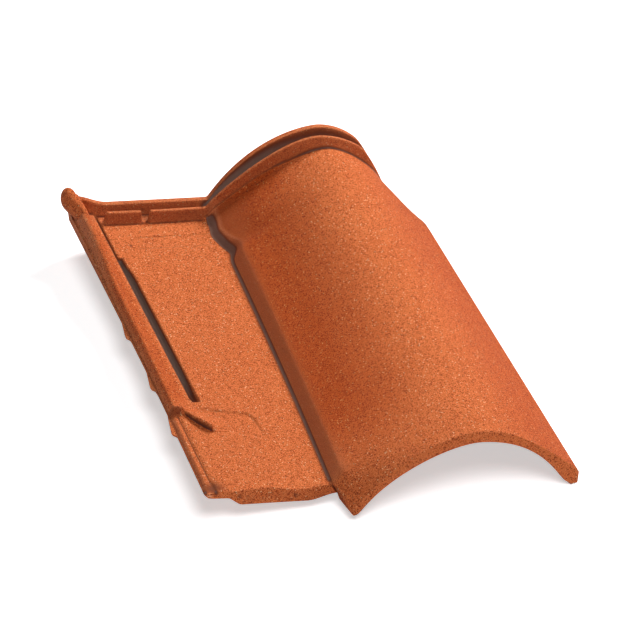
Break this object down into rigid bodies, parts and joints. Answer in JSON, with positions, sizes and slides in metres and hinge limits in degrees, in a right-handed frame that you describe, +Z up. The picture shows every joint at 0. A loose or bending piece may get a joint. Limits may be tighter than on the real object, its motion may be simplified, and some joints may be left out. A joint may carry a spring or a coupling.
{
  "type": "interlocking clay roof tile",
  "caption": "Interlocking clay roof tile: flat pan with a side lock along its left edge, tapered barrel on the right, ribbed head and hanging nibs underneath.",
  "frame": {"origin": "centre of the bounding box at its bottom, on the floor that the tile lies on", "axes": "+X across the tile from the side lock to the barrel's free edge, +Y up the slope from the nose to the head, +Z up. The tile lies on its nibs, weather bar and right foot, so its pan is rolled 7.3 degrees about Y, right side down"},
  "size_m": [0.2762, 0.4266, 0.0751],
  "materials": {
    "fired_clay": "matte"
  },
  "bodies": {
    "root": {"roof_tile": "fired_clay"}
  },
  "joints": []
}
